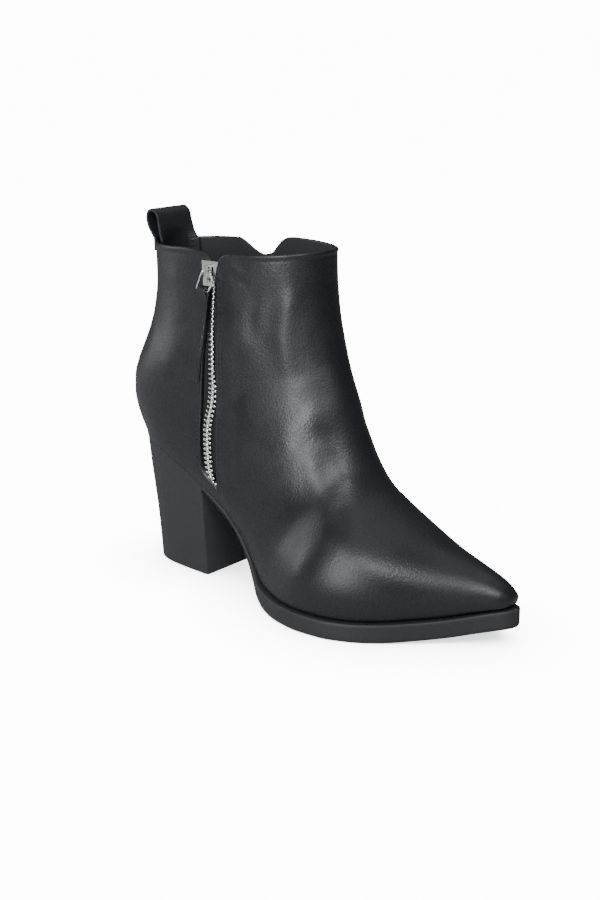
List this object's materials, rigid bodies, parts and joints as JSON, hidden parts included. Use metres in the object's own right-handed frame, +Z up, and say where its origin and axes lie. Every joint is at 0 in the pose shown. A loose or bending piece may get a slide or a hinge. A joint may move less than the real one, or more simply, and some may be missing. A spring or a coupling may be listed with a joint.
{
  "type": "zip ankle boot",
  "caption": "Pointed-toe ankle boot with a block heel, a slim platform sole, a side zip with a folded tab pull and a loop behind the collar.",
  "frame": {"origin": "on the floor under the middle of the heel", "axes": "+X from heel to toe, +Z up, -Y the outer side with the zip"},
  "size_m": [0.2566, 0.0862, 0.2084],
  "materials": {
    "upper_leather": "smooth black leather with a fine grain and soft creases",
    "sole_rubber": "matt",
    "heel_cover": "matt",
    "insole_lining": "matt",
    "zip_tape": "woven",
    "zip_metal": "polished",
    "slider_metal": "polished",
    "pull_metal": "polished",
    "pull_leather": "smooth",
    "loop_leather": "smooth"
  },
  "bodies": {
    "boot": {"upper": "upper_leather", "outsole": "sole_rubber", "heel": "heel_cover", "insole": "insole_lining", "zip_tape": "zip_tape", "zip_chain": "zip_metal", "zip_slider": "slider_metal", "pull_loop": "loop_leather"},
    "pull": {"pull_wire": "pull_metal", "pull_tab": "pull_leather"}
  },
  "joints": [
    {"name": "pull_hinge", "type": "hinge", "parent": "boot", "child": "pull", "pos_m": [0.0369, -0.0311, 0.1814], "axis": [-1, 0, 0], "range_deg": [0, 150]}
  ]
}
